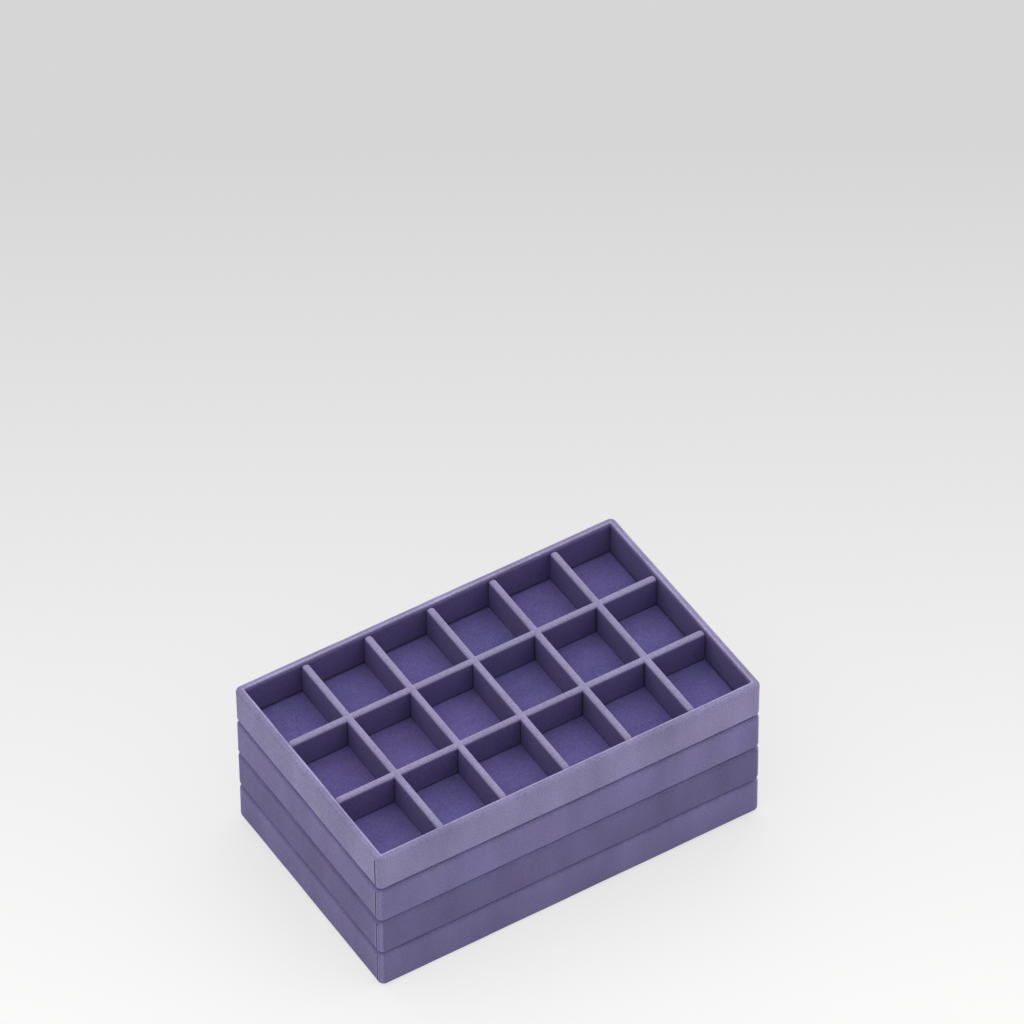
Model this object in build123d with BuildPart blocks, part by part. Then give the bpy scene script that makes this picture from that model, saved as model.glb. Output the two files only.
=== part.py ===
from build123d import *
import os

# Four stacking velvet jewelry trays of one size. From the bottom: three compartments beside ring
# rolls, ring rolls alone, six compartments, eighteen cells. Millimetres, +X along the long side to
# the right, +Y to the back, +Z up, origin under the middle of the lowest tray.

# Outside of one tray
TRAY_LENGTH = 290.0
TRAY_WIDTH = 180.0
TRAY_HEIGHT = 30.0
CORNER_RADIUS = 4.4

# Boards, velvet and felt
WALL_BOARD = 3.8
BASE_BOARD = 2.0
FLOOR_PAD = 1.0
VELVET = 0.7
FELT = 0.5

# Velvet wrap: rounding over the boards, fold under the base, and the upright butt seam
OUTER_RIM_RADIUS = 2.9
INNER_RIM_RADIUS = 1.2
BOTTOM_RADIUS = 3.4
INNER_CORNER_RADIUS = 0.8
FOLD_WIDTH = 13.0
BOARD_EASE = 0.2
SEAM_WIDTH = 0.8
SEAM_DEPTH = 0.4
SEAM_FROM_CORNER = 4.6
SEAM_BELOW_RIM = 3.0

# Felt under each tray
FELT_INSET = 4.0
FELT_CORNER_RADIUS = 3.0

# Dividers
DIVIDER = 5.0
DIVIDER_BELOW_RIM = 1.3
DIVIDER_TOP_RADIUS = 1.8
DIVIDER_END_RADIUS = 3.0
FIT = 0.2
SLOT_CLEARANCE = 0.3

# Tray with eighteen cells
CELL_COLUMNS = 6
CELL_ROWS = 3

# Tray with six compartments: the shallow row at the back, the narrow column at the right
REAR_ROW_DEPTH = 57.0
NARROW_COLUMN = 53.9

# Tray with compartments at the left and rolls at the right
COMPARTMENT_LENGTH = 99.5
COMPARTMENT_ROWS = 3

# Ring rolls
ROLL_COUNT = 7
ROLL_BELOW_RIM = 1.0
ROLL_GAP = 0.3
ROLL_TIGHT_END_RADIUS = 1.5
ROLL_FREE_END_RADIUS = 6.0
LONG_ROLL_END_GAP = 2.4
SHORT_ROLL_END_GAP = 3.2

# Room between a tray's rim and the felt of the tray that stands on it
STACK_GAP = 0.3

# Heights inside one tray, above its own underside
BOARD_Z = FELT + VELVET
PAD_Z = BOARD_Z + BASE_BOARD
FLOOR_Z = PAD_Z + FLOOR_PAD
BOARD_TOP_Z = TRAY_HEIGHT - VELVET
DIVIDER_TOP_Z = TRAY_HEIGHT - DIVIDER_BELOW_RIM
ROLL_TOP_Z = TRAY_HEIGHT - ROLL_BELOW_RIM

# Plan of one tray
WALL = WALL_BOARD + 2 * VELVET
INNER_LENGTH = TRAY_LENGTH - 2 * WALL
INNER_WIDTH = TRAY_WIDTH - 2 * WALL
BOARDS_LENGTH = TRAY_LENGTH - 2 * VELVET
BOARDS_WIDTH = TRAY_WIDTH - 2 * VELVET
BASE_LENGTH = BOARDS_LENGTH - 2 * WALL_BOARD
BASE_WIDTH = BOARDS_WIDTH - 2 * WALL_BOARD
LEFT_END = -INNER_LENGTH / 2
RIGHT_END = INNER_LENGTH / 2
FRONT_END = -INNER_WIDTH / 2
BACK_END = INNER_WIDTH / 2

# Height of each tray's underside in the stack
STACK_STEP = TRAY_HEIGHT + STACK_GAP
COMBO_TRAY_Z = 0.0
RING_TRAY_Z = STACK_STEP
BOX_TRAY_Z = 2 * STACK_STEP
CELL_TRAY_Z = 3 * STACK_STEP

os.makedirs("parts", exist_ok=True)


def save(part, label):
    """Labels a finished piece and writes its file."""
    part.label = label
    export_step(part, f"parts/{label}.step")


def block(centre_x, centre_y, z, length, width, height, mode):
    """A square block that stands at height z, added to or cut from the part being built."""
    with Locations((centre_x, centre_y, z)):
        Box(length, width, height, align=(Align.CENTER, Align.CENTER, Align.MIN), mode=mode)


def round_rim(walls, depth):
    """Rounds the rim, more on the outside than on the inside, that far under the velvet's surface."""
    fillet(walls.faces().sort_by(Axis.Z)[-1].outer_wire().edges(), OUTER_RIM_RADIUS - depth)
    fillet(walls.faces().sort_by(Axis.Z)[-1].inner_wires().edges(), INNER_RIM_RADIUS - depth)


def wall_ring(z, ease):
    """The four wall boards in one ring. Their rounded edges are eased to clear the curved velvet."""
    with BuildPart() as ring:
        with BuildSketch(Plane.XY.offset(z + BOARD_Z)):
            RectangleRounded(BOARDS_LENGTH, BOARDS_WIDTH, CORNER_RADIUS - VELVET + ease)
            Rectangle(BASE_LENGTH, BASE_WIDTH, mode=Mode.SUBTRACT)
        extrude(amount=BOARD_TOP_Z - BOARD_Z)
        round_rim(ring, VELVET - ease)
        foot = ring.faces().sort_by(Axis.Z)[0].outer_wire().edges()
        fillet(foot, BOTTOM_RADIUS - VELVET + ease)
    return ring.part


def velvet_wrap(tray, z):
    """The velvet strip: up the outside, over the rim, down the inside, and folded under the base."""
    with BuildPart() as wrap:
        with BuildSketch(Plane.XY.offset(z + FELT)):
            RectangleRounded(TRAY_LENGTH, TRAY_WIDTH, CORNER_RADIUS)
        extrude(amount=TRAY_HEIGHT - FELT)
        fillet(wrap.edges().group_by(Axis.Z)[0], BOTTOM_RADIUS)
        with BuildSketch(Plane.XY.offset(z + PAD_Z)):
            RectangleRounded(INNER_LENGTH, INNER_WIDTH, INNER_CORNER_RADIUS)
        extrude(amount=TRAY_HEIGHT - PAD_Z, mode=Mode.SUBTRACT)
        round_rim(wrap, 0)
        block(0, 0, z + BOARD_Z, BASE_LENGTH, BASE_WIDTH, BASE_BOARD, Mode.SUBTRACT)
        fold_length = TRAY_LENGTH - 2 * FOLD_WIDTH
        fold_width = TRAY_WIDTH - 2 * FOLD_WIDTH
        block(0, 0, z + FELT, fold_length, fold_width, VELVET, Mode.SUBTRACT)
        add(wall_ring(z, 0), mode=Mode.SUBTRACT)
        seam_y = -TRAY_WIDTH / 2 + SEAM_FROM_CORNER
        seam_height = TRAY_HEIGHT - FELT - SEAM_BELOW_RIM
        block(-TRAY_LENGTH / 2, seam_y, z + FELT, 2 * SEAM_DEPTH, SEAM_WIDTH, seam_height, Mode.SUBTRACT)
    save(wrap.part, f"{tray}_velvet_wrap")


def wall_board(tray, side, z, centre_x, centre_y, length, width):
    """One of the four wall boards. The front and back ones run past the ends of the other two."""
    with BuildPart() as board:
        add(wall_ring(z, BOARD_EASE))
        block(centre_x, centre_y, z + BOARD_Z, length, width, TRAY_HEIGHT, Mode.INTERSECT)
    save(board.part, f"{tray}_{side}_board")


def base_board(tray, z):
    """The stiff floor, glued in between the four wall boards."""
    with BuildPart() as board:
        block(0, 0, z + BOARD_Z, BASE_LENGTH, BASE_WIDTH, BASE_BOARD, Mode.ADD)
    save(board.part, f"{tray}_base_board")


def underside_felt(tray, z):
    """The thin sheet that covers the raw edges of the fold. The tray stands on it."""
    with BuildPart() as felt:
        with BuildSketch(Plane.XY.offset(z)):
            felt_length = TRAY_LENGTH - 2 * FELT_INSET
            felt_width = TRAY_WIDTH - 2 * FELT_INSET
            RectangleRounded(felt_length, felt_width, FELT_CORNER_RADIUS)
        extrude(amount=FELT)
    save(felt.part, f"{tray}_underside_felt")


def floor_sheet(label, z, left, right):
    """Velvet over thin card, laid on the base board from left to right."""
    with BuildPart() as sheet:
        with BuildSketch(Plane.XY.offset(z + PAD_Z)):
            with Locations(((left + right) / 2, 0)):
                RectangleRounded(right - left, INNER_WIDTH - 2 * FIT, INNER_CORNER_RADIUS)
        extrude(amount=FLOOR_PAD)
    save(sheet.part, label)


def tray_shell(tray, z):
    """What every tray has: base, walls, velvet wrap and felt."""
    base_board(tray, z)
    long_y = (BASE_WIDTH + WALL_BOARD) / 2
    short_x = (BASE_LENGTH + WALL_BOARD) / 2
    wall_board(tray, "front", z, 0, -long_y, TRAY_LENGTH, WALL_BOARD)
    wall_board(tray, "back", z, 0, long_y, TRAY_LENGTH, WALL_BOARD)
    wall_board(tray, "left", z, -short_x, 0, WALL_BOARD, BASE_WIDTH)
    wall_board(tray, "right", z, short_x, 0, WALL_BOARD, BASE_WIDTH)
    velvet_wrap(tray, z)
    underside_felt(tray, z)


def divider(label, z, start, end, slots, slot_opens_up):
    """A velvet covered board on edge from start to end, with half height slots where others cross."""
    along = (end - start).normalized()
    middle = (start + end) * 0.5 + Vector(0, 0, z + FLOOR_Z)
    side = Plane(origin=middle, x_dir=along, z_dir=along.cross(Vector(0, 0, 1)))
    height = DIVIDER_TOP_Z - FLOOR_Z
    slot_height = (height + SLOT_CLEARANCE) / 2
    slot_width = DIVIDER + 2 * SLOT_CLEARANCE
    slot_z = height - slot_height / 2 if slot_opens_up else slot_height / 2
    with BuildPart() as board:
        with BuildSketch(side) as outline:
            Rectangle((end - start).length, height, align=(Align.CENTER, Align.MIN))
            fillet(outline.vertices().group_by(Axis.Y)[-1], DIVIDER_END_RADIUS)
        extrude(amount=DIVIDER / 2, both=True)
        foot = board.faces().sort_by(Axis.Z)[0].edges()
        sides = board.faces().filter_by(Axis(middle, side.z_dir))
        fillet(sides.edges() - foot, DIVIDER_TOP_RADIUS)
        for slot in slots:
            with Locations(middle + along * (slot - middle.dot(along)) + Vector(0, 0, slot_z)):
                Box(slot_width, slot_width, slot_height, mode=Mode.SUBTRACT)
    save(board.part, label)


def long_divider(label, z, y, left, right, slots):
    """A divider along the tray, slotted from above for the cross dividers at the given places."""
    divider(label, z, Vector(left, y, 0), Vector(right, y, 0), slots, slot_opens_up=True)


def cross_divider(label, z, x, slots):
    """A divider from front to back, slotted from below over the long dividers at the given places."""
    front = Vector(x, FRONT_END + FIT, 0)
    back = Vector(x, BACK_END - FIT, 0)
    divider(label, z, front, back, slots, slot_opens_up=False)


def ring_rolls(tray, z, left, right):
    """Foam rolls under velvet, side by side. They are pressed up to the left and end free at the right."""
    pitch = (INNER_WIDTH - ROLL_GAP) / ROLL_COUNT
    radius = (pitch - ROLL_GAP) / 2
    crown_z = ROLL_TOP_Z - radius
    for number in range(ROLL_COUNT):
        y = BACK_END - ROLL_GAP - radius - number * pitch
        with BuildPart() as roll:
            with BuildSketch(Plane.YZ.offset(left)):
                with Locations((y, z + (FLOOR_Z + crown_z) / 2)):
                    Rectangle(2 * radius, crown_z - FLOOR_Z)
                with Locations((y, z + crown_z)):
                    Circle(radius)
                with Locations((y, z + FLOOR_Z - radius)):
                    Rectangle(3 * radius, 2 * radius, mode=Mode.SUBTRACT)
            extrude(amount=right - left)
            for face, end_radius in ((-1, ROLL_FREE_END_RADIUS), (0, ROLL_TIGHT_END_RADIUS)):
                end_edges = roll.faces().sort_by(Axis.X)[face].edges()
                fillet(end_edges.group_by(Axis.Z)[1:], end_radius)
        save(roll.part, f"{tray}_roll_{number + 1}")


def cell_tray():
    """Eighteen equal cells between two long dividers and five cross dividers."""
    tray_shell("cell_tray", CELL_TRAY_Z)
    floor_sheet("cell_tray_floor_pad", CELL_TRAY_Z, LEFT_END + FIT, RIGHT_END - FIT)
    column = (INNER_LENGTH + DIVIDER) / CELL_COLUMNS
    row = (INNER_WIDTH + DIVIDER) / CELL_ROWS
    columns = [LEFT_END - DIVIDER / 2 + column * number for number in range(1, CELL_COLUMNS)]
    rows = [BACK_END + DIVIDER / 2 - row * number for number in range(1, CELL_ROWS)]
    for number, y in enumerate(rows, 1):
        label = f"cell_tray_long_divider_{number}"
        long_divider(label, CELL_TRAY_Z, y, LEFT_END + FIT, RIGHT_END - FIT, columns)
    for number, x in enumerate(columns, 1):
        cross_divider(f"cell_tray_cross_divider_{number}", CELL_TRAY_Z, x, rows)


def box_tray():
    """Six compartments: two wide columns and a narrow one, a shallow row behind a deep one."""
    tray_shell("box_tray", BOX_TRAY_Z)
    floor_sheet("box_tray_floor_pad", BOX_TRAY_Z, LEFT_END + FIT, RIGHT_END - FIT)
    row_y = BACK_END - REAR_ROW_DEPTH - DIVIDER / 2
    narrow_x = RIGHT_END - NARROW_COLUMN - DIVIDER / 2
    wide_x = (LEFT_END + narrow_x - DIVIDER / 2) / 2
    columns = [wide_x, narrow_x]
    long_divider("box_tray_long_divider", BOX_TRAY_Z, row_y, LEFT_END + FIT, RIGHT_END - FIT, columns)
    for number, x in enumerate(columns, 1):
        cross_divider(f"box_tray_cross_divider_{number}", BOX_TRAY_Z, x, [row_y])


def ring_tray():
    """Seven ring rolls as long as the tray, on a velvet covered bed."""
    tray_shell("ring_tray", RING_TRAY_Z)
    floor_sheet("ring_tray_roll_bed", RING_TRAY_Z, LEFT_END + FIT, RIGHT_END - FIT)
    ring_rolls("ring_tray", RING_TRAY_Z, LEFT_END + ROLL_GAP, RIGHT_END - LONG_ROLL_END_GAP)


def combo_tray():
    """Three compartments at the left of a cross divider, seven short ring rolls at its right."""
    tray_shell("combo_tray", COMBO_TRAY_Z)
    divider_x = LEFT_END + COMPARTMENT_LENGTH + DIVIDER / 2
    floor_sheet("combo_tray_floor_pad", COMBO_TRAY_Z, LEFT_END + FIT, divider_x)
    floor_sheet("combo_tray_roll_bed", COMBO_TRAY_Z, divider_x, RIGHT_END - FIT)
    cross_divider("combo_tray_cross_divider", COMBO_TRAY_Z, divider_x, [])
    row = (INNER_WIDTH + DIVIDER) / COMPARTMENT_ROWS
    short_end = divider_x - DIVIDER / 2 - SLOT_CLEARANCE
    for number in range(1, COMPARTMENT_ROWS):
        y = BACK_END + DIVIDER / 2 - row * number
        label = f"combo_tray_short_divider_{number}"
        long_divider(label, COMBO_TRAY_Z, y, LEFT_END + FIT, short_end, [])
    roll_start = divider_x + DIVIDER / 2 + ROLL_GAP
    ring_rolls("combo_tray", COMBO_TRAY_Z, roll_start, RIGHT_END - SHORT_ROLL_END_GAP)


combo_tray()
ring_tray()
box_tray()
cell_tray()
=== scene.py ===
import math
import bmesh
import bpy
from mathutils import Matrix, Vector, noise


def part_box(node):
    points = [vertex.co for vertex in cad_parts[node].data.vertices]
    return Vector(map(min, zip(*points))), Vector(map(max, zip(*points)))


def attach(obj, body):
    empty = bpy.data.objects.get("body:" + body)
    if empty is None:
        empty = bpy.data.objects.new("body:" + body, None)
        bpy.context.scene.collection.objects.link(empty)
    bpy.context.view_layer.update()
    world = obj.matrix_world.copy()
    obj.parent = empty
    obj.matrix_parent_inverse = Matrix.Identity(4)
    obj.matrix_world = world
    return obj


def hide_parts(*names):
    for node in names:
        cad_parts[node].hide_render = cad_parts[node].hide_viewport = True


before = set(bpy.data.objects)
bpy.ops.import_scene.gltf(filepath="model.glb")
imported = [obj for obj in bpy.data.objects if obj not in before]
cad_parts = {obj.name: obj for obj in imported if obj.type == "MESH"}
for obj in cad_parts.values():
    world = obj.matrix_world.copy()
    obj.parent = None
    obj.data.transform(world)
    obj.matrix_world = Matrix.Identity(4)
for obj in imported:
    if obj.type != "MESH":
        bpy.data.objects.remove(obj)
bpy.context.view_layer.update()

# Grey board: the base and the four wall boards of each tray, cut from compressed grey board and
# glued. They are the CAD nodes as they are; velvet and felt hide them.
MM = 0.001
TRAYS = ("combo_tray", "ring_tray", "box_tray", "cell_tray")
BOARD_GREY = (0.24, 0.22, 0.20, 1.0)
BOARD_FLECK = (0.36, 0.34, 0.31, 1.0)
BOARD_GRAIN = 900.0


def add_node(material, kind, **settings):
    """A shader node of that kind, with its plain settings and its inputs' values."""
    node = material.node_tree.nodes.new(kind)
    for name, value in settings.items():
        if hasattr(node, name):
            setattr(node, name, value)
        else:
            node.inputs[name.replace("_", " ")].default_value = value
    return node


def finish_from(name, **sockets):
    """A new material and its surface shader, with what is the same all over set on the shader."""
    material = bpy.data.materials.new(name)
    material.use_nodes = True
    shader = material.node_tree.nodes["Principled BSDF"]
    for socket, value in sockets.items():
        shader.inputs[socket.replace("_", " ")].default_value = value
    return material, shader


def object_noise(material, scale, detail=2.0, stretch=(1.0, 1.0, 1.0)):
    """Noise fixed to the piece, with that many waves to the metre, other waves for each cut of cloth."""
    link = material.node_tree.links.new
    place = add_node(material, "ShaderNodeTexCoord")
    mapping = add_node(material, "ShaderNodeMapping", Scale=stretch)
    grain = add_node(material, "ShaderNodeTexNoise", noise_dimensions="4D", Scale=scale, Detail=detail)
    cut = add_node(material, "ShaderNodeAttribute", attribute_name="cut_of_cloth")
    link(cut.outputs["Fac"], grain.inputs["W"])
    link(place.outputs["Object"], mapping.inputs["Vector"])
    link(mapping.outputs["Vector"], grain.inputs["Vector"])
    return grain.outputs["Fac"]


def ranged(material, factor, low, high, source_low=0.3, source_high=0.7):
    """The factor stretched from its usual range to low and high."""
    spread = add_node(material, "ShaderNodeMapRange")
    limits = {"From Min": source_low, "From Max": source_high, "To Min": low, "To Max": high}
    for socket, value in limits.items():
        spread.inputs[socket].default_value = value
    material.node_tree.links.new(factor, spread.inputs["Value"])
    return spread.outputs["Result"]


def grey_board():
    """Pressed board, grey with lighter flecks."""
    board, shader = finish_from("grey_board", Specular_IOR_Level=0.2)
    link = board.node_tree.links.new
    fleck = object_noise(board, BOARD_GRAIN, 4.0)
    blend = add_node(board, "ShaderNodeMix", data_type="RGBA")
    blend.inputs["A"].default_value = BOARD_GREY
    blend.inputs["B"].default_value = BOARD_FLECK
    link(ranged(board, fleck, 0.0, 1.0), blend.inputs["Factor"])
    link(blend.outputs["Result"], shader.inputs["Base Color"])
    link(ranged(board, fleck, 0.75, 0.95), shader.inputs["Roughness"])
    return board


board_finish = grey_board()
for name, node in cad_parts.items():
    if name.endswith("_board"):
        node.material_slots[0].material = board_finish

# Velvet wrap: one strip of velvet glued round each tray, from 13 mm in under the base, up the outside,
# over the rounded rim and down the inside. Its ends meet in an upright seam by the front left corner.
# Its colour carries painted light: each tray's outside and inside are painted lighter by their own amount
# from 0 to 1.
WALL = 5.2 * MM
VELVET = 0.7 * MM
POCKET_DEPTH = 26.8 * MM
FOLD_WIDTH = 13.0 * MM
FOLD_CORNER = 2.0 * MM
ABOVE_FOLD = 2.0 * MM
WRAP_CORNER = 4.4 * MM
WRAP_INNER_CORNER = 0.8 * MM
OUTER_RIM_RADIUS = 2.9 * MM
INNER_RIM_RADIUS = 1.2 * MM
FOOT_RADIUS = 3.4 * MM
SEAM_FROM_CORNER = 4.6 * MM
SEAM_BELOW_RIM = 3.0 * MM
SEAM_DEPTH = 0.7 * MM
SEAM_LINE = 0.55 * MM
SEAM_LIP = 1.0 * MM
SEAM_LIP_RISE = 0.14 * MM
# Painted highlight on the seam's lips.
SEAM_LIP_HIGHLIGHT = 0.7
ROUND_STEPS = 6
CORNER_STEPS = 8
CLOTH_STEP = 6.0 * MM
CLOTH_MARGIN = 8.0 * MM
BROAD_WAVE_RATE = 28
SMALL_WAVE_RATE = 90
SMALL_WAVE_SHARE = 0.5
WRAP_WAVE = 0.16 * MM
RIM_FADE = 2.0 * MM
SHARP_ANGLE = math.radians(55)
# Painted light: each tray's outside is painted lighter by its own amount, to stand in for the light on that
# tray.
OUTSIDE_PAINTED_LIGHT = {"combo_tray": 0.13, "ring_tray": 0.00, "box_tray": 0.18, "cell_tray": 0.64}
# Painted highlight along the rounded outer corners.
CORNER_HIGHLIGHT = 0.55
# Painted light: the insides and divider sides are painted lighter in the lower trays, against the shade of
# the trays above.
INSIDE_PAINTED_LIGHT = {"combo_tray": 0.20, "ring_tray": 0.20, "box_tray": 0.25, "cell_tray": 0.10}
CREASE = 1.3 * MM
CREASE_BELOW_RIM = 4.0 * MM
# Wrap tones by painted light level: darker to lighter wall, the painted lighter rim top and the painted
# highlight along the rim's edges.
WALL_DARK_COLOUR = (0.138, 0.117, 0.254, 1.0)
WALL_COLOUR = (0.187, 0.162, 0.330, 1.0)
WALL_LIGHT_COLOUR = (0.216, 0.186, 0.372, 1.0)
RIM_COLOUR = (0.228, 0.203, 0.368, 1.0)
RIM_HIGHLIGHT_COLOUR = (0.470, 0.430, 0.620, 1.0)
# Painted shade in the seam's line.
SEAM_SHADE_COLOUR = (0.068, 0.057, 0.118, 1.0)
# Painted shade in the creases where cloth meets the floor and in inside corners.
CREASE_SHADE_COLOUR = (0.045, 0.036, 0.100, 1.0)
# Lining tones: the wrap's own velvet painted darker inside the tray, partly for its pile running down,
# partly as painted shade.
LINING_DARK_COLOUR = (0.112, 0.086, 0.232, 1.0)
LINING_COLOUR = (0.183, 0.148, 0.356, 1.0)
SHEEN_TINT = (0.78, 0.74, 1.0, 1.0)
PILE_DEPTH = 0.40 * MM
PILE_GRAIN = 900.0
PILE_DARK = 0.80
PILE_LIGHT = 1.20
STROKE_GRAIN = 22.0
HUE_GRAIN = 14.0
HUE_LOW = 0.491
HUE_HIGH = 0.506


def velvet(name, tones, sheen=0.25, patch=0.10, stretch=(1.0, 1.0, 1.0)):
    """Velvet: short pile, whose tone follows its painted light and shade, with faint patches where it was
    stroked.

    The first two tones are those of the deepest painted shade and of the brightest painted highlight.
    """
    cloth, shader = finish_from(
        name, Specular_IOR_Level=0.12, Sheen_Weight=sheen, Sheen_Roughness=0.45, Sheen_Tint=SHEEN_TINT
    )
    link = cloth.node_tree.links.new
    # Each point's painted light level picks its tone: low for painted shade, high for painted highlights.
    painted_light_node = add_node(cloth, "ShaderNodeAttribute", attribute_name="painted_light")
    blend = add_node(cloth, "ShaderNodeValToRGB")
    for number, (place, colour) in enumerate(tones):
        stops = blend.color_ramp.elements
        stop = stops[number] if number < 2 else stops.new(place)
        stop.position, stop.color = place, colour
    link(painted_light_node.outputs["Fac"], blend.inputs["Fac"])
    pile = object_noise(cloth, PILE_GRAIN, 3.0)
    stroked = object_noise(cloth, STROKE_GRAIN, 3.0, stretch)
    lightness = add_node(cloth, "ShaderNodeMath", operation="MULTIPLY")
    link(ranged(cloth, pile, PILE_DARK, PILE_LIGHT), lightness.inputs[0])
    link(ranged(cloth, stroked, 1.0 - patch, 1.0 + patch), lightness.inputs[1])
    shade = add_node(cloth, "ShaderNodeHueSaturation")
    link(blend.outputs["Color"], shade.inputs["Color"])
    link(lightness.outputs["Value"], shade.inputs["Value"])
    link(ranged(cloth, object_noise(cloth, HUE_GRAIN, 2.0), HUE_LOW, HUE_HIGH), shade.inputs["Hue"])
    link(shade.outputs["Color"], shader.inputs["Base Color"])
    link(ranged(cloth, stroked, 0.86, 0.98), shader.inputs["Roughness"])
    bump = add_node(cloth, "ShaderNodeBump", Strength=0.5, Distance=PILE_DEPTH)
    link(pile, bump.inputs["Height"])
    link(bump.outputs["Normal"], shader.inputs["Normal"])
    return cloth


def cut_at(mesh, axis, place):
    """Cuts the mesh all the way across an axis at one place."""
    plane, normal = Vector((0, 0, 0)), Vector((0, 0, 0))
    plane[axis], normal[axis] = place, 1
    everything = mesh.verts[:] + mesh.edges[:] + mesh.faces[:]
    bmesh.ops.bisect_plane(mesh, geom=everything, plane_co=plane, plane_no=normal)


def cut_every(mesh, axis, low, high, step):
    """Cuts the mesh across an axis at even steps, so that it can follow the cloth's small waves."""
    count = max(1, round((high - low) / step))
    for number in range(1, count):
        cut_at(mesh, axis, low + (high - low) * number / count)


def round_edges(mesh, edges, radius, segments):
    """Rounds the edges to the radius, in that many steps."""
    bmesh.ops.bevel(
        mesh, geom=edges, offset=radius, segments=segments, profile=0.5, affect="EDGES", material=-1
    )


def block(mesh, low, high):
    """A square block from its low to its high corner."""
    place = Matrix.Translation((low + high) / 2) @ Matrix.Diagonal((*(high - low), 1))
    bmesh.ops.create_cube(mesh, size=1, matrix=place)


def wave_and_paint_light(mesh, height, seed):
    """Moves the cloth in and out by small waves, and paints it lighter by how far each point faces up."""
    mesh.normal_update()
    painted_light = mesh.verts.layers.float.new("painted_light")
    cut = mesh.verts.layers.float.new("cut_of_cloth")
    for vert in mesh.verts:
        wave = noise.noise(vert.co * BROAD_WAVE_RATE + Vector((seed, 0, 0)))
        wave += SMALL_WAVE_SHARE * noise.noise(vert.co * SMALL_WAVE_RATE)
        # Painted light: cloth that faces up is painted lighter, as light falls from above.
        vert[painted_light] = max(0.0, vert.normal.z)
        vert[cut] = seed
        vert.co += vert.normal * wave * height


def add_piece(name, mesh, body, material, *nodes, slot=None):
    """The finished mesh as a piece that rides on its tray and stands for its CAD nodes."""
    data = bpy.data.meshes.new(name)
    mesh.to_mesh(data)
    mesh.free()
    data.shade_smooth()
    data.set_sharp_from_angle(angle=SHARP_ANGLE)
    for finish in material if isinstance(material, (list, tuple)) else (material,):
        data.materials.append(finish)
    piece = bpy.data.objects.new(name, data)
    bpy.context.collection.objects.link(piece)
    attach(piece, body)
    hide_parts(*nodes)
    return piece


def ring_to(wrap, edges, half, old, new):
    """Extrudes the wrap's edge ring to its next place, given as inset, corner radius and height."""
    grown = bmesh.ops.extrude_edge_only(wrap, edges=edges)["geom"]
    old_inset, old_radius, _ = old
    inset, radius, z = new
    for vert in (item for item in grown if isinstance(item, bmesh.types.BMVert)):
        for axis in (0, 1):
            side = math.copysign(1, vert.co[axis])
            turn = (vert.co[axis] - side * (half[axis] - old_inset - old_radius)) / old_radius
            vert.co[axis] = side * (half[axis] - inset - radius) + radius * turn
        vert.co.z = z
    return [item for item in grown if isinstance(item, bmesh.types.BMEdge)]


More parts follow.
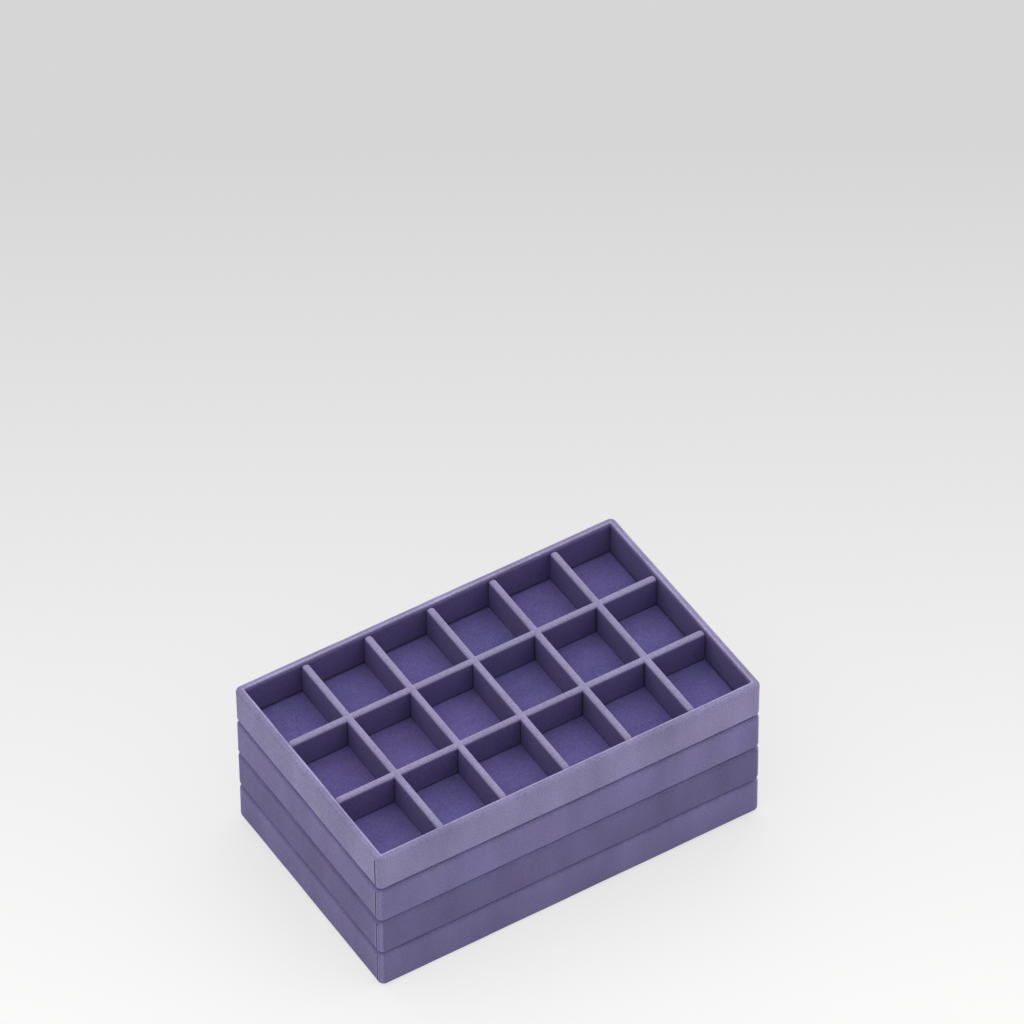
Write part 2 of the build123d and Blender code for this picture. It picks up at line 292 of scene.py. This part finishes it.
def wrap_mesh(low, high, floor, seed, outside, inside):
    """The strip, from its edge under the base to the foot of the inside, as ring after ring.

    It is painted lighter by that much outside and inside, with a painted highlight over the rim that rises
    towards the inner edge and along the outer corners, and painted shade in a narrow crease along the floor
    and up the inside corners.
    """
    half = (high - low) / 2
    quarter = [math.radians(90 * step / ROUND_STEPS) for step in range(ROUND_STEPS + 1)]
    section = [(FOLD_WIDTH, FOLD_CORNER, low.z)]
    for angle in quarter:
        inset = FOOT_RADIUS * (1 - math.sin(angle))
        section.append((inset, WRAP_CORNER - inset, low.z + FOOT_RADIUS * (1 - math.cos(angle))))
    for angle in quarter:
        inset = OUTER_RIM_RADIUS * (1 - math.cos(angle))
        section.append((inset, WRAP_CORNER - inset, high.z - OUTER_RIM_RADIUS * (1 - math.sin(angle))))
    for angle in quarter:
        inset = WALL - INNER_RIM_RADIUS * (1 - math.sin(angle))
        z = high.z - INNER_RIM_RADIUS * (1 - math.cos(angle))
        section.append((inset, WRAP_INNER_CORNER + WALL - inset, z))
    section.append((WALL, WRAP_INNER_CORNER, high.z - POCKET_DEPTH))
    wrap = bmesh.new()
    inset, radius, z = section[0]
    place = Matrix.Translation((0, 0, z)) @ Matrix.Diagonal((half.x - inset, half.y - inset, 1, 1))
    bmesh.ops.create_grid(wrap, x_segments=1, y_segments=1, size=1, matrix=place)
    corners = wrap.verts[:]
    bmesh.ops.bevel(
        wrap, geom=corners, offset=radius, segments=CORNER_STEPS, profile=0.5, affect="VERTICES", material=-1
    )
    ring = wrap.edges[:]
    bmesh.ops.delete(wrap, geom=wrap.faces[:], context="FACES_ONLY")
    for old, new in zip(section, section[1:]):
        ring = ring_to(wrap, ring, half, old, new)
    bmesh.ops.recalc_face_normals(wrap, faces=wrap.faces[:])
    cut_every(wrap, 0, low.x + CLOTH_MARGIN, high.x - CLOTH_MARGIN, CLOTH_STEP)
    cut_every(wrap, 1, low.y + CLOTH_MARGIN, high.y - CLOTH_MARGIN, CLOTH_STEP)
    cut_every(wrap, 2, low.z + FOOT_RADIUS, high.z - OUTER_RIM_RADIUS, CLOTH_STEP)
    cut_at(wrap, 2, floor)
    cut_at(wrap, 2, floor + CREASE)
    cut_at(wrap, 2, high.z - CREASE_BELOW_RIM)
    for way in (-1, 1):
        cut_at(wrap, 0, way * (half.x - WALL - CREASE))
        cut_at(wrap, 1, way * (half.y - WALL - CREASE))
    wave_and_paint_light(wrap, WRAP_WAVE, seed)
    painted_light = wrap.verts.layers.float["painted_light"]
    for vert in wrap.verts:
        inset = min(high.x - abs(vert.co.x), high.y - abs(vert.co.y))
        # Painted highlight over the rim, rising towards its inner edge and fading down the wall.
        over_rim = max(0.0, inset / WALL) * max(0.0, 1 - (high.z - vert.co.z) / RIM_FADE)
        vert[painted_light] = max(over_rim, outside if inset < WALL / 2 else inside)
        # Painted highlight along the rounded outer corners.
        if max(high.x - abs(vert.co.x), high.y - abs(vert.co.y)) < WRAP_CORNER / 2:
            vert[painted_light] = max(vert[painted_light], CORNER_HIGHLIGHT)
        # Painted shade: a narrow crease along the floor and up the inside corners is painted darkest.
        from_corner = max(high.x - abs(vert.co.x), high.y - abs(vert.co.y)) - WALL
        shade_up_to = floor + CREASE / 2
        if from_corner < CREASE / 2:
            shade_up_to = high.z - 0.95 * CREASE_BELOW_RIM
        if inset > WALL / 2 and low.z + FOOT_RADIUS < vert.co.z < shade_up_to:
            vert[painted_light] = 0.0
    return wrap


def press_seam(wrap, low, high):
    """The upright butt seam: its two lips stand a little proud and carry a painted highlight, and painted
    shade fills the deep line between them.
    """
    seam_y = low.y + SEAM_FROM_CORNER
    seam_top = high.z - SEAM_BELOW_RIM
    for offset in (-SEAM_LIP, -SEAM_LINE, 0, SEAM_LINE, SEAM_LIP):
        strip = [face for face in wrap.faces if face.calc_center_median().x < low.x + WRAP_CORNER]
        edges = {edge for face in strip for edge in face.edges}
        verts = {vert for face in strip for vert in face.verts}
        plane = Vector((0, seam_y + offset, 0))
        bmesh.ops.bisect_plane(
            wrap, geom=[*verts, *edges, *strip], plane_co=plane, plane_no=(0, 1, 0)
        )
    pile = wrap.verts.layers.float["painted_light"]
    for vert in wrap.verts:
        from_seam = abs(vert.co.y - seam_y)
        if vert.co.x < low.x + WALL / 2 and vert.co.z < seam_top and from_seam < 1.1 * SEAM_LIP:
            in_line = from_seam < 0.5 * SEAM_LINE
            vert.co.x += SEAM_DEPTH if in_line else -SEAM_LIP_RISE
            # Painted shade in the seam's line, painted highlight on its lips.
            vert[pile] = 0.0 if in_line else max(vert[pile], SEAM_LIP_HIGHLIGHT)


# The wrap's tone ramp paints its light: lighter walls, a lighter rim top and a highlight along the rim's
# edges.
wrap_velvet = velvet(
    "wrap_velvet",
    [
        (0.0, WALL_DARK_COLOUR),
        (1.0, RIM_HIGHLIGHT_COLOUR),
        (0.2, WALL_COLOUR),
        (0.4, WALL_LIGHT_COLOUR),
        (0.6, RIM_COLOUR),
    ],
    patch=0.16,
    stretch=(1.6, 1.6, 0.5),
)
# Lining: the same velvet as the wrap, darker inside the tray, partly for its pile running down, partly as
# painted shade.
lining_velvet = velvet(
    "lining_velvet",
    [(0.0, CREASE_SHADE_COLOUR), (1.0, RIM_HIGHLIGHT_COLOUR), (0.1, LINING_DARK_COLOUR), (0.25, LINING_COLOUR)],
)
# Painted shade: one flat dark tone fills the seam's line.
seam_shade = velvet("seam_shade", [(0.0, SEAM_SHADE_COLOUR), (1.0, SEAM_SHADE_COLOUR)], sheen=0.0)
for seed, tray in enumerate(TRAYS):
    node = f"{tray}_velvet_wrap"
    low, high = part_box(node)
    pad = f"{tray}_roll_bed" if tray == "ring_tray" else f"{tray}_floor_pad"
    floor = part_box(pad)[1].z
    wrap = wrap_mesh(low, high, floor, 7.0 * seed, OUTSIDE_PAINTED_LIGHT[tray], INSIDE_PAINTED_LIGHT[tray])
    press_seam(wrap, low, high)
    for face in wrap.faces:
        middle = face.calc_center_median()
        within = abs(middle.x) < high.x - 0.8 * WALL and abs(middle.y) < high.y - 0.8 * WALL
        lined = within and middle.z < high.z - INNER_RIM_RADIUS and middle.z > low.z + ABOVE_FOLD
        # Faces in the seam's line take the flat painted shade.
        in_seam = middle.x < low.x + WALL / 2 and abs(middle.y - low.y - SEAM_FROM_CORNER) < SEAM_LINE
        in_seam = in_seam and middle.z < high.z - SEAM_BELOW_RIM
        face.material_index = 2 if in_seam else int(lined)
    velvets = (wrap_velvet, lining_velvet, seam_shade)
    piece = add_piece(f"{tray}_wrap", wrap, tray, velvets, node, slot="wrap_velvet")
    skin = piece.modifiers.new("cloth_thickness", "SOLIDIFY")
    skin.thickness = VELVET
    skin.offset = -1.0

# Felt under each tray: a sheet of pressed felt, 4 mm in from the edges, glued over the raw edge of
# the fold. The tray stands on it.
FELT_CORNER = 3.0 * MM
FELT_EDGE = 0.2 * MM
FELT_COLOUR = (0.075, 0.066, 0.115, 1.0)
FELT_FIBRE = (0.150, 0.135, 0.205, 1.0)
FELT_GRAIN = 420.0
FELT_CLOUD = 60.0
FELT_DEPTH = 0.3 * MM


def pressed_felt():
    """Dark felt with lighter fibres that lie mostly along X."""
    felt, shader = finish_from("pressed_felt", Specular_IOR_Level=0.1, Sheen_Weight=0.2, Sheen_Roughness=0.6)
    link = felt.node_tree.links.new
    fibre = object_noise(felt, FELT_GRAIN, 6.0, (1.0, 2.2, 1.0))
    cloud = object_noise(felt, FELT_CLOUD, 2.0)
    blend = add_node(felt, "ShaderNodeMix", data_type="RGBA")
    blend.inputs["A"].default_value = FELT_COLOUR
    blend.inputs["B"].default_value = FELT_FIBRE
    link(ranged(felt, fibre, 0.0, 1.0), blend.inputs["Factor"])
    link(blend.outputs["Result"], shader.inputs["Base Color"])
    link(ranged(felt, cloud, 0.85, 1.0), shader.inputs["Roughness"])
    bump = add_node(felt, "ShaderNodeBump", Strength=0.6, Distance=FELT_DEPTH)
    link(fibre, bump.inputs["Height"])
    link(bump.outputs["Normal"], shader.inputs["Normal"])
    return felt


felt_finish = pressed_felt()
for tray in TRAYS:
    node = f"{tray}_underside_felt"
    low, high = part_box(node)
    felt = bmesh.new()
    block(felt, low, high)
    corners = [edge for edge in felt.edges if abs(edge.verts[0].co.z - edge.verts[1].co.z) > FELT_EDGE]
    round_edges(felt, corners, FELT_CORNER, 6)
    rim = [edge for edge in felt.edges if abs(edge.verts[0].co.z - edge.verts[1].co.z) < FELT_EDGE]
    round_edges(felt, rim, FELT_EDGE, 2)
    for axis in (0, 1):
        cut_at(felt, axis, low[axis] + FELT_CORNER)
        cut_at(felt, axis, high[axis] - FELT_CORNER)
    add_piece(f"{tray}_felt", felt, tray, felt_finish, node, slot="underside_felt")

# Floor pads and roll beds: velvet over thin card, dropped in on the base board. The velvet turns
# down round the card's edge, so a pad sinks a little along the walls.
PAD_TURN = 2.2 * MM
PAD_SINK = 0.30 * MM
PAD_STEP = 2.0 * MM
PAD_WAVE = 0.10 * MM
PAD_WAVE_RATE = 22
PAD_BELOW = 0.6
# Floor tones: painted shade, the floor, and the painted lit floor.
FLOOR_COLOUR = (0.132, 0.107, 0.296, 1.0)
FLOOR_LIT_COLOUR = (0.250, 0.206, 0.500, 1.0)
# Painted light per pad: lighter in the trays below the top one, against the shade of the trays above them.
PADS_PAINTED_LIGHT = {
    "combo_tray_floor_pad": 0.64,
    "combo_tray_roll_bed": 0.37,
    "ring_tray_roll_bed": 0.37,
    "box_tray_floor_pad": 1.00,
    "cell_tray_floor_pad": 0.16,
}


def tray_of(node):
    """The tray that the CAD node is part of."""
    return node[: node.index("_tray") + len("_tray")]


def floor_pad(low, high, seed, pad_light):
    """A pad from its CAD box, painted lighter by that much, with painted shade along its edges."""
    pad = bmesh.new()
    block(pad, low, high)
    cut_every(pad, 0, low.x, high.x, PAD_STEP)
    cut_every(pad, 1, low.y, high.y, PAD_STEP)
    painted_light = pad.verts.layers.float.new("painted_light")
    cut = pad.verts.layers.float.new("cut_of_cloth")
    for vert in pad.verts:
        vert[painted_light] = 0.0
        vert[cut] = seed
        if vert.co.z > (low.z + high.z) / 2:
            to_edge = min(vert.co.x - low.x, high.x - vert.co.x, vert.co.y - low.y, high.y - vert.co.y)
            turned = max(0.0, 1 - to_edge / PAD_TURN)
            # Painted light on the top, fading to painted shade along the edges.
            vert[painted_light] = pad_light * (1 - turned)
            wave = noise.noise(vert.co * PAD_WAVE_RATE + Vector((seed, 0, 0)))
            vert.co.z += PAD_WAVE * (wave - PAD_BELOW) - PAD_SINK * turned * turned
    return pad


# The floor's tone ramp paints its light and the shade along its edges.
floor_velvet = velvet(
    "floor_velvet",
    [(0.0, CREASE_SHADE_COLOUR), (1.0, FLOOR_LIT_COLOUR), (0.1, FLOOR_COLOUR)],
    sheen=0.15,
    patch=0.12,
    stretch=(1, 2, 1),
)
for seed, (node, pad_light) in enumerate(PADS_PAINTED_LIGHT.items()):
    low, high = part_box(node)
    tray = tray_of(node)
    pad = floor_pad(low, high, 11.0 * seed, pad_light)
    add_piece(f"{node}_velvet", pad, tray, floor_velvet, node, slot="floor_velvet")

# Dividers: grey board strips on edge in velvet sleeves. The long ones are slotted from above and the
# cross ones from below, and they are pushed together and dropped in on the floor pad. Where two meet,
# the pile of one swells into the rounded top of the other, so that their tops run together.
SLOT_CLEARANCE = 0.3 * MM
PILE_FROM_MIDDLE = 1.0 * MM
PILE_PAST_BUTT = 1.3 * MM
DIVIDER_TOP_RADIUS = 1.8 * MM
DIVIDER_END_RADIUS = 3.0 * MM
BUTTED_END_RADIUS = 1.0 * MM
# How far painted shade reaches out of the corners at the ends and crossings.
CORNER_SHADE_REACH = 0.4 * MM
SLEEVE_FOOT_RADIUS = 0.8 * MM
DIVIDER_WAVE = 0.09 * MM
DIVIDER_STEP = 6.0 * MM
TOUCH = 0.01 * MM
FACING = 0.9
EDGE_ON = 0.1
# Divider tones: painted shade, the dark and plain sides, the painted lighter top and painted highlights
# along its edges.
DIVIDER_DARK_COLOUR = (0.110, 0.085, 0.228, 1.0)
DIVIDER_SIDE_COLOUR = (0.182, 0.148, 0.352, 1.0)
DIVIDER_TOP_COLOUR = (0.275, 0.246, 0.410, 1.0)
DIVIDER_EDGE_COLOUR = (0.330, 0.298, 0.475, 1.0)
DIVIDER_BRIGHT_COLOUR = (0.450, 0.406, 0.648, 1.0)
# Painted light per tray on the top edges and tops, higher in the lower trays against the shade of the trays
# above.
EDGES_PAINTED_LIGHT = {"combo_tray": 1.0, "box_tray": 1.0, "cell_tray": 0.8}
TOPS_PAINTED_LIGHT = {"combo_tray": 0.9, "box_tray": 0.9, "cell_tray": 0.6}
EDGE_RISE = 0.6


def divider(low, high, crossings, slots_from_above, butted, seed, side_light, edge_light, top_light):
    """One strip from its CAD box, with half height slots at the crossings, given along its length.

    A butted one ends at the side of another, and its pile swells past that. It is painted that much lighter
    on the sides, along the rounded edges of the top and on the top itself, and painted shade fills its
    corner creases.
    """
    axis = 0 if high.x - low.x > high.y - low.y else 1
    width = (high - low)[1 - axis]
    creases = [(low[axis], CORNER_SHADE_REACH), (high[axis], CORNER_SHADE_REACH)]
    creases += [(crossing, width / 2 + CORNER_SHADE_REACH) for crossing in crossings]
    if butted:
        high = high.copy()
        high[axis] += PILE_PAST_BUTT
    far_radius = BUTTED_END_RADIUS if butted else DIVIDER_END_RADIUS
    slot_height = (high.z - low.z + SLOT_CLEARANCE) / 2
    whole_low, whole_high = low.copy(), high.copy()
    if crossings and slots_from_above:
        whole_high.z = high.z - slot_height
    elif crossings:
        whole_low.z = low.z + slot_height
    strip = bmesh.new()
    block(strip, whole_low, whole_high)
    slot_side = PILE_FROM_MIDDLE if slots_from_above else width / 2 + SLOT_CLEARANCE
    for crossing in crossings:
        cut_at(strip, axis, crossing - slot_side)
        cut_at(strip, axis, crossing + slot_side)
    strip.normal_update()
    if crossings:
        way = 1 if slots_from_above else -1
        between = [
            face
            for face in strip.faces
            if face.normal.z * way > FACING
            and all(abs(face.calc_center_median()[axis] - crossing) > slot_side for crossing in crossings)
        ]
        grown = bmesh.ops.extrude_discrete_faces(strip, faces=between)["faces"]
        for face in grown:
            bmesh.ops.translate(strip, verts=face.verts[:], vec=(0, 0, way * slot_height))
    for end, radius in ((low[axis], DIVIDER_END_RADIUS), (high[axis], far_radius)):
        top = [
            edge
            for edge in strip.edges
            if all(abs(vert.co.z - high.z) + abs(vert.co[axis] - end) < TOUCH for vert in edge.verts)
        ]
        round_edges(strip, top, radius, 5)
    strip.normal_update()
    shoulders = []
    for edge in strip.edges:
        if len(edge.link_faces) == 2:
            leans = [abs(face.normal[1 - axis]) for face in edge.link_faces]
            rises = [face.normal.z for face in edge.link_faces]
            ends = [abs(face.normal[axis]) for face in edge.link_faces]
            middle = (edge.verts[0].co + edge.verts[1].co) / 2
            at_end = min(middle[axis] - low[axis], high[axis] - middle[axis]) < TOUCH
            if max(leans) > FACING and min(leans) < EDGE_ON and min(rises) > -EDGE_ON:
                if max(rises) > EDGE_ON or (max(ends) > FACING and at_end):
                    if middle.z > high.z - slot_height * 0.98 or at_end:
                        shoulders.append(edge)
    round_edges(strip, shoulders, DIVIDER_TOP_RADIUS, 5)
    foot = [
        edge
        for edge in strip.edges
        if all(vert.co.z < low.z + TOUCH for vert in edge.verts)
        and abs(edge.verts[0].co[axis] - edge.verts[1].co[axis]) > DIVIDER_TOP_RADIUS
        and abs(edge.verts[0].co[1 - axis] - (low[1 - axis] + high[1 - axis]) / 2) > 0.4 * width
    ]
    round_edges(strip, foot, SLEEVE_FOOT_RADIUS, 3)
    cut_every(strip, axis, low[axis], high[axis], DIVIDER_STEP)
    cut_every(strip, 2, low.z, high.z - DIVIDER_TOP_RADIUS, DIVIDER_STEP)
    cut_at(strip, 2, low.z + SLEEVE_FOOT_RADIUS + CREASE)
    cut_at(strip, 2, high.z - DIVIDER_TOP_RADIUS - CREASE)
    for place, reach in creases:
        for offset in (-reach - CREASE, -reach, reach, reach + CREASE):
            cut_at(strip, axis, place + offset)
    wave_and_paint_light(strip, DIVIDER_WAVE, seed)
    painted_light = strip.verts.layers.float["painted_light"]
    below_top = high.z - 1.1 * DIVIDER_TOP_RADIUS
    # Painted shade in the creases at the foot and the corners; painted light on the sides, top edges and
    # top.
    for vert in strip.verts:
        in_corner = any(abs(vert.co[axis] - place) < reach + TOUCH for place, reach in creases)
        shade_up_to = below_top if in_corner else low.z + SLEEVE_FOOT_RADIUS + CREASE / 2
        if vert.co.z < shade_up_to:
            vert[painted_light] = 0.0
        elif vert.co.z < below_top:
            vert[painted_light] = side_light
        elif vert[painted_light] < EDGE_RISE:
            vert[painted_light] = side_light + (edge_light - side_light) * vert[painted_light] / EDGE_RISE
        else:
            vert[painted_light] = edge_light + (top_light - edge_light) * (vert[painted_light] - EDGE_RISE) / (1 - EDGE_RISE)
    return strip


# The divider's tone ramp paints its light and shade.
divider_velvet = velvet(
    "divider_velvet",
    [
        (0.0, CREASE_SHADE_COLOUR),
        (1.0, DIVIDER_BRIGHT_COLOUR),
        (0.1, DIVIDER_DARK_COLOUR),
        (0.25, DIVIDER_SIDE_COLOUR),
        (0.6, DIVIDER_TOP_COLOUR),
        (0.8, DIVIDER_EDGE_COLOUR),
    ],
    sheen=0.2,
)
for seed, node in enumerate(sorted(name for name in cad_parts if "_divider" in name)):
    tray = tray_of(node)
    kind = "cross_divider" if "long_divider" in node else "long_divider"
    axis = 0 if kind == "cross_divider" else 1
    crossed = [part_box(other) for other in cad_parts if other.startswith(f"{tray}_{kind}")]
    from_above, butted = "long_divider" in node, "short_divider" in node
    crossings = sorted((box[0][axis] + box[1][axis]) / 2 for box in crossed if not butted)
    low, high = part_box(node)
    # Each tray's painted light on the divider sides, top edges and top.
    leans = (INSIDE_PAINTED_LIGHT[tray], EDGES_PAINTED_LIGHT[tray], TOPS_PAINTED_LIGHT[tray])
    strip = divider(low, high, crossings, from_above, butted, 5.0 * seed, *leans)
    add_piece(f"{node}_sleeve", strip, tray, divider_velvet, node, slot="divider_velvet")

# Ring rolls: foam bars under velvet, side by side on the bed, with their feet glued down. Rings are
# pushed into the gaps between them. The foam fills the cloth, and the free right ends are rounded.
# Each crest carries a painted highlight, and the lowest tray's rolls are painted lighter against the shade
# of the tray above.
ROLL_SLACK = 0.8 * MM
ROLL_WEAVE = 3.0 * MM
ROLL_FOOT = 2.0 * MM
ROLL_FRAMES = 20
ROLL_PRESSURE = 4.0
ROLL_MOST = 1.6 * MM
ROLL_WAVE = 0.22 * MM
ROLL_WAVE_ALONG = 24
ROLL_WAVE_UP = 30
ROLL_SMOOTHING = 3
# Painted light on the rolls and painted highlights on their crests, for each tray.
ROLLS_PAINTED_LIGHT = {"combo_tray": 0.15, "ring_tray": 0.00}
CRESTS_HIGHLIGHT = {"combo_tray": 0.90, "ring_tray": 0.70}
ROLL_COLOUR = (0.195, 0.159, 0.436, 1.0)
ROLL_CREST_HIGHLIGHT_COLOUR = (0.350, 0.304, 0.636, 1.0)


def evaluated_mesh(piece):
    """The piece's mesh as its modifiers leave it."""
    depsgraph = bpy.context.evaluated_depsgraph_get()
    return bpy.data.meshes.new_from_object(piece.evaluated_get(depsgraph))


def stuffed_roll(node):
    """The roll's cloth, a little slack, then filled by its foam as far as its neighbours let it."""
    low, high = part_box(node)
    form = bmesh.new()
    form.from_mesh(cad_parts[node].data)
    bmesh.ops.remove_doubles(form, verts=form.verts[:], dist=0.001 * MM)
    form.normal_update()
    middle = (low + high) / 2
    for vert in form.verts:
        for axis in range(3):
            half = (high - low)[axis] / 2
            vert.co[axis] = middle[axis] + (vert.co[axis] - middle[axis]) * (half - ROLL_SLACK) / half
    data = bpy.data.meshes.new("roll_form")
    form.to_mesh(data)
    form.free()
    roll = bpy.data.objects.new("roll_form", data)
    bpy.context.collection.objects.link(roll)
    weave = roll.modifiers.new("weave", "REMESH")
    weave.mode = "VOXEL"
    weave.voxel_size = ROLL_WEAVE
    woven = evaluated_mesh(roll)
    roll.modifiers.clear()
    roll.data = woven
    start = [vert.co.copy() for vert in woven.vertices]
    glued = roll.vertex_groups.new(name="glued_foot")
    glued.add([vert.index for vert in woven.vertices if vert.co.z < low.z + ROLL_FOOT], 1.0, "REPLACE")
    cloth = roll.modifiers.new("filling", "CLOTH")
    cloth.settings.use_pressure = True
    cloth.settings.uniform_pressure_force = ROLL_PRESSURE
    cloth.settings.effector_weights.gravity = 0.0
    cloth.settings.vertex_group_mass = "glued_foot"
    cloth.collision_settings.use_collision = False
    for frame_number in range(1, ROLL_FRAMES + 1):
        bpy.context.scene.frame_set(frame_number)
    filled = evaluated_mesh(roll)
    roll.modifiers.clear()
    for vert, place in zip(filled.vertices, start):
        move = vert.co - place
        if move.length > ROLL_MOST:
            move *= ROLL_MOST / move.length
        vert.co = place + move
        for axis in range(3):
            vert.co[axis] = min(max(vert.co[axis], low[axis]), high[axis])
    bpy.data.objects.remove(roll)
    bpy.context.scene.frame_set(1)
    return filled


roll_velvet = velvet(
    "roll_velvet", [(0.0, ROLL_COLOUR), (1.0, ROLL_CREST_HIGHLIGHT_COLOUR)], sheen=0.2, patch=0.13, stretch=(1.2, 2, 2)
)
for tray in ("combo_tray", "ring_tray"):
    rolls = sorted(
        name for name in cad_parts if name.startswith(f"{tray}_roll_") and name[-1].isdigit()
    )
    filled = stuffed_roll(rolls[0])
    for seed, node in enumerate(rolls):
        low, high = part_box(node)
        roll = bmesh.new()
        roll.from_mesh(filled)
        for _ in range(ROLL_SMOOTHING):
            bmesh.ops.smooth_vert(
                roll, verts=roll.verts[:], factor=0.5, use_axis_x=True, use_axis_y=True, use_axis_z=True
            )
        for axis in range(3):
            first = min(vert.co[axis] for vert in roll.verts)
            last = max(vert.co[axis] for vert in roll.verts)
            for vert in roll.verts:
                vert.co[axis] = low[axis] + (high - low)[axis] * (vert.co[axis] - first) / (last - first)
        roll.normal_update()
        painted_light = roll.verts.layers.float.new("painted_light")
        cut = roll.verts.layers.float.new("cut_of_cloth")
        for vert in roll.verts:
            vert[cut] = 3.0 * seed
            wave = noise.noise(Vector((vert.co.x * ROLL_WAVE_ALONG, vert.co.z * ROLL_WAVE_UP, 9.0 * seed)))
            # Painted highlight: the crest, which faces up to the light, is painted lighter.
            crest = max(0.0, vert.normal.z) ** 3
            vert[painted_light] = ROLLS_PAINTED_LIGHT[tray] * (1 - crest) + CRESTS_HIGHLIGHT[tray] * crest
            vert.co.z += wave * ROLL_WAVE * (vert.co.z - low.z) / (high.z - low.z)
        piece = add_piece(f"{node}_velvet", roll, tray, roll_velvet, node, slot="roll_velvet")
        smooth = piece.modifiers.new("smooth_velvet", "SUBSURF")
        smooth.levels = 1
        smooth.render_levels = 1

# Studio: a pale ground that darkens a little to the back, one very broad soft lamp above, and an even
# pale room. The camera looks down from the front left with a long lens.
GROUND_SIZE = 40.0
GROUND_NEAR = (0.93, 0.93, 0.925, 1.0)
GROUND_FAR = (0.65, 0.65, 0.65, 1.0)
GROUND_GLOW = 0.72
SHADE_START = -0.17
SHADE_END = 0.63
ROOM_LIGHT = 0.40
ROOM_SEEN = 0.68
LAMP_STRENGTH = 2.5
LAMP_SPREAD = math.radians(130)
LAMP_FROM = Vector((0.30, 0.25, 0.92))
CAMERA_AZIMUTH = math.radians(-31.51)
CAMERA_ELEVATION = math.radians(45.60)
CAMERA_ROLL = math.radians(-0.61)
CAMERA_LENS = 316.4
CAMERA_DISTANCE = 5.478
CAMERA_ASIDE = 0.0127
CAMERA_BELOW = 0.2089
LIFTED_RIM = Vector((0, 0, 0.5793))

back = Vector((
    math.sin(CAMERA_AZIMUTH) * math.cos(CAMERA_ELEVATION),
    -math.cos(CAMERA_AZIMUTH) * math.cos(CAMERA_ELEVATION),
    math.sin(CAMERA_ELEVATION),
))
right = Vector((math.cos(CAMERA_AZIMUTH), math.sin(CAMERA_AZIMUTH), 0))
up = back.cross(right)
roll_turn = Matrix.Rotation(CAMERA_ROLL, 3, back)
right, up = roll_turn @ right, roll_turn @ up


def seen_or_lit(surface, seen, lit):
    """One value for the rays that show the ground or the room, another for those that bring light."""
    path = add_node(surface, "ShaderNodeLightPath")
    showing = path.outputs["Is Camera Ray"]
    for other in ("Is Glossy Ray", "Is Transmission Ray"):
        either = add_node(surface, "ShaderNodeMath", operation="MAXIMUM")
        surface.node_tree.links.new(showing, either.inputs[0])
        surface.node_tree.links.new(path.outputs[other], either.inputs[1])
        showing = either.outputs["Value"]
    return ranged(surface, showing, lit, seen, 0.0, 1.0)


ground_mesh = bmesh.new()
bmesh.ops.create_grid(ground_mesh, x_segments=1, y_segments=1, size=GROUND_SIZE / 2)
ground_data = bpy.data.meshes.new("ground")
ground_mesh.to_mesh(ground_data)
ground_mesh.free()
ground_finish, ground_shader = finish_from("ground", Roughness=0.9, Specular_IOR_Level=0.0)
ground_link = ground_finish.node_tree.links.new
ground_place = add_node(ground_finish, "ShaderNodeTexCoord")
ground_depth = add_node(ground_finish, "ShaderNodeVectorMath", operation="DOT_PRODUCT")
ground_depth.inputs[1].default_value = (-math.sin(CAMERA_AZIMUTH), math.cos(CAMERA_AZIMUTH), 0)
ground_link(ground_place.outputs["Object"], ground_depth.inputs[0])
ground_shade = add_node(ground_finish, "ShaderNodeMix", data_type="RGBA")
ground_shade.inputs["A"].default_value = GROUND_NEAR
ground_shade.inputs["B"].default_value = GROUND_FAR
ground_link(
    ranged(ground_finish, ground_depth.outputs["Value"], 0.0, 1.0, SHADE_START, SHADE_END),
    ground_shade.inputs["Factor"],
)
ground_glow = add_node(ground_finish, "ShaderNodeEmission")
ground_link(ground_shade.outputs["Result"], ground_shader.inputs["Base Color"])
ground_link(ground_shade.outputs["Result"], ground_glow.inputs["Color"])
ground_blend = add_node(ground_finish, "ShaderNodeMixShader")
ground_link(seen_or_lit(ground_finish, GROUND_GLOW, 0.0), ground_blend.inputs["Fac"])
ground_link(ground_shader.outputs["BSDF"], ground_blend.inputs[1])
ground_link(ground_glow.outputs["Emission"], ground_blend.inputs[2])
ground_surface = ground_finish.node_tree.nodes["Material Output"].inputs["Surface"]
ground_link(ground_blend.outputs["Shader"], ground_surface)
ground_data.materials.append(ground_finish)
ground = bpy.data.objects.new("ground", ground_data)
bpy.context.collection.objects.link(ground)

room = bpy.data.worlds.new("room")
room.use_nodes = True
room_light = room.node_tree.nodes["Background"]
room_light.inputs["Color"].default_value = (1.0, 1.0, 1.0, 1.0)
room.node_tree.links.new(seen_or_lit(room, ROOM_SEEN, ROOM_LIGHT), room_light.inputs["Strength"])
bpy.context.scene.world = room

lamp_data = bpy.data.lights.new("soft_lamp", "SUN")
lamp_data.energy = LAMP_STRENGTH
lamp_data.angle = LAMP_SPREAD
lamp = bpy.data.objects.new("soft_lamp", lamp_data)
lamp.rotation_euler = LAMP_FROM.to_track_quat("Z", "Y").to_euler()
bpy.context.collection.objects.link(lamp)

camera_data = bpy.data.cameras.new("camera")
camera_data.lens = CAMERA_LENS
camera_data.sensor_width = 36.0
camera_data.clip_end = 200.0
camera = bpy.data.objects.new("camera", camera_data)
place = LIFTED_RIM + right * CAMERA_ASIDE - up * CAMERA_BELOW + back * CAMERA_DISTANCE
camera.matrix_world = Matrix.Translation(place) @ Matrix((right, up, back)).transposed().to_4x4()
bpy.context.collection.objects.link(camera)
bpy.context.scene.camera = camera
bpy.context.scene.view_settings.view_transform = "Standard"
